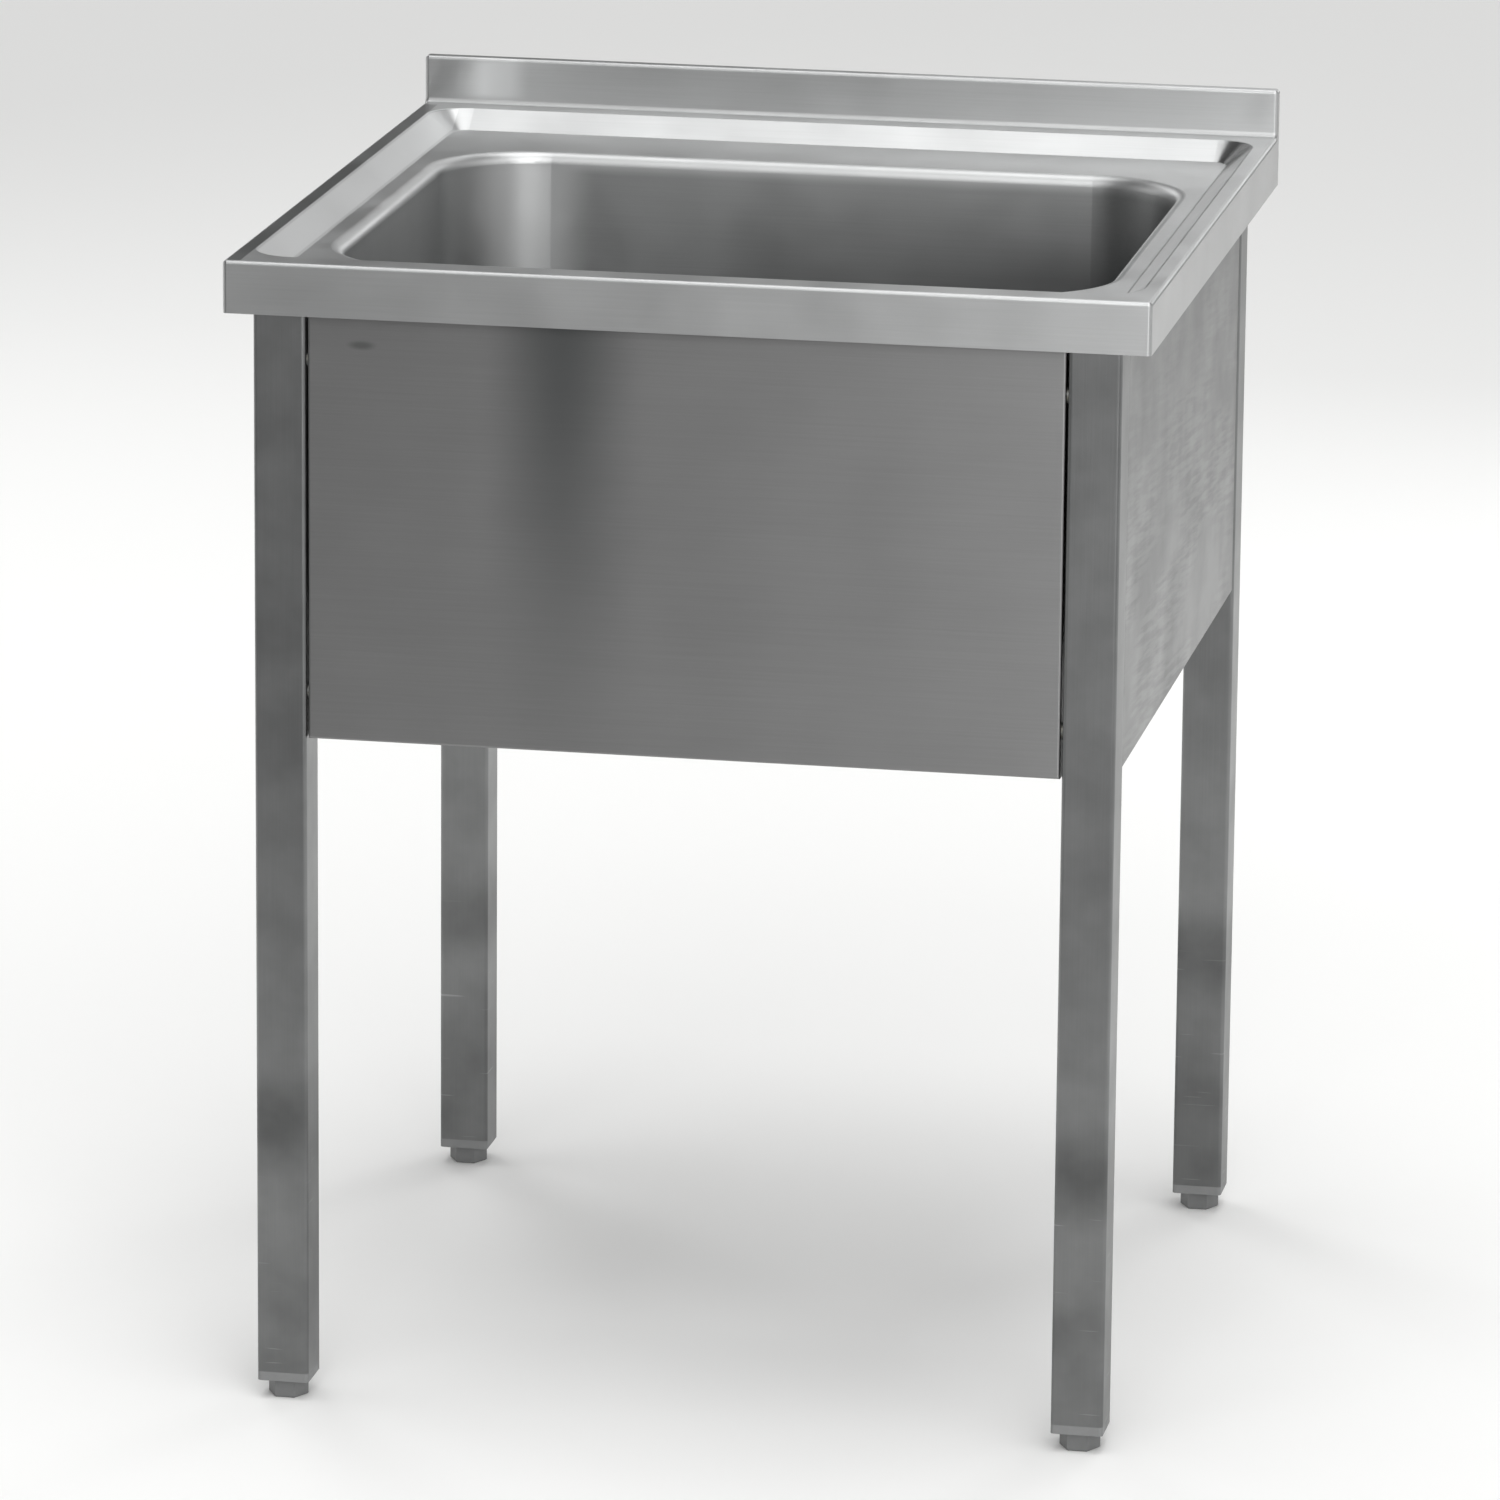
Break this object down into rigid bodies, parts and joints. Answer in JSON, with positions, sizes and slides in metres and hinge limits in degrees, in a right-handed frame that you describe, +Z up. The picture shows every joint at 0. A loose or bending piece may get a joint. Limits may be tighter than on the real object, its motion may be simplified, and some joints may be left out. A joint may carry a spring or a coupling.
{
  "type": "utility laundry sink",
  "caption": "Free-standing stainless steel utility sink: deep bowl in a square top with a back upstand, folded sheet aprons and square tube legs on screw-adjustable feet.",
  "frame": {"origin": "on the floor under the middle of the top, feet screwed right in", "axes": "+Z up; +X to the user's right; the user stands at -Y and the upstand is at +Y"},
  "size_m": [0.7, 0.7, 0.928],
  "materials": {
    "top_sheet": "satin brushed",
    "bowl_sheet": "satin, drawn",
    "apron_sheet": "fine brushed along the length",
    "leg_tube": "brushed along the tube",
    "socket_steel": "mill finish",
    "leg_plug": "moulded grey",
    "foot_pad": "moulded grey",
    "stud_steel": "rolled thread",
    "waste_steel": "polished",
    "waste_nut": "moulded white",
    "seal_rubber": "matte black",
    "fastener_steel": "plain"
  },
  "bodies": {
    "sink": {"worktop": "top_sheet", "bowl": "bowl_sheet", "front_apron": "apron_sheet", "left_apron": "apron_sheet", "right_apron": "apron_sheet", "rear_rail": "apron_sheet", "waste_body": "waste_steel", "waste_grid": "waste_steel", "waste_nut": "waste_nut", "waste_seal": "seal_rubber", "waste_washer": "seal_rubber", "rivet_nuts": "fastener_steel", "panel_screws": "fastener_steel", "leg_screws": "fastener_steel", "leg_front_left": "leg_tube", "socket_front_left": "socket_steel", "plug_front_left": "leg_plug", "leg_front_right": "leg_tube", "socket_front_right": "socket_steel", "plug_front_right": "leg_plug", "leg_back_left": "leg_tube", "socket_back_left": "socket_steel", "plug_back_left": "leg_plug", "leg_back_right": "leg_tube", "socket_back_right": "socket_steel", "plug_back_right": "leg_plug"},
    "stud_front_left": {"foot_stud_front_left": "stud_steel"},
    "pad_front_left": {"foot_pad_front_left": "foot_pad"},
    "stud_front_right": {"foot_stud_front_right": "stud_steel"},
    "pad_front_right": {"foot_pad_front_right": "foot_pad"},
    "stud_back_left": {"foot_stud_back_left": "stud_steel"},
    "pad_back_left": {"foot_pad_back_left": "foot_pad"},
    "stud_back_right": {"foot_stud_back_right": "stud_steel"},
    "pad_back_right": {"foot_pad_back_right": "foot_pad"}
  },
  "joints": [
    {"name": "lift_front_left", "type": "slide", "parent": "sink", "child": "stud_front_left", "axis": [0, 0, -1], "range_m": [0, 0.024]},
    {"name": "turn_front_left", "type": "hinge", "parent": "stud_front_left", "child": "pad_front_left", "pos_m": [-0.308, -0.3245, 0.01], "axis": [0, 0, -1], "range_deg": [0, 5760]},
    {"name": "lift_front_right", "type": "slide", "parent": "sink", "child": "stud_front_right", "axis": [0, 0, -1], "range_m": [0, 0.024]},
    {"name": "turn_front_right", "type": "hinge", "parent": "stud_front_right", "child": "pad_front_right", "pos_m": [0.308, -0.3245, 0.01], "axis": [0, 0, -1], "range_deg": [0, 5760]},
    {"name": "lift_back_left", "type": "slide", "parent": "sink", "child": "stud_back_left", "axis": [0, 0, -1], "range_m": [0, 0.024]},
    {"name": "turn_back_left", "type": "hinge", "parent": "stud_back_left", "child": "pad_back_left", "pos_m": [-0.308, 0.318, 0.01], "axis": [0, 0, -1], "range_deg": [0, 5760]},
    {"name": "lift_back_right", "type": "slide", "parent": "sink", "child": "stud_back_right", "axis": [0, 0, -1], "range_m": [0, 0.024]},
    {"name": "turn_back_right", "type": "hinge", "parent": "stud_back_right", "child": "pad_back_right", "pos_m": [0.308, 0.318, 0.01], "axis": [0, 0, -1], "range_deg": [0, 5760]}
  ],
  "couplings": [
    {"joint": "turn_front_left", "follows": "lift_front_left", "rad_per_m": 4188.8},
    {"joint": "turn_front_right", "follows": "lift_front_right", "rad_per_m": 4188.8},
    {"joint": "turn_back_left", "follows": "lift_back_left", "rad_per_m": 4188.8},
    {"joint": "turn_back_right", "follows": "lift_back_right", "rad_per_m": 4188.8}
  ]
}
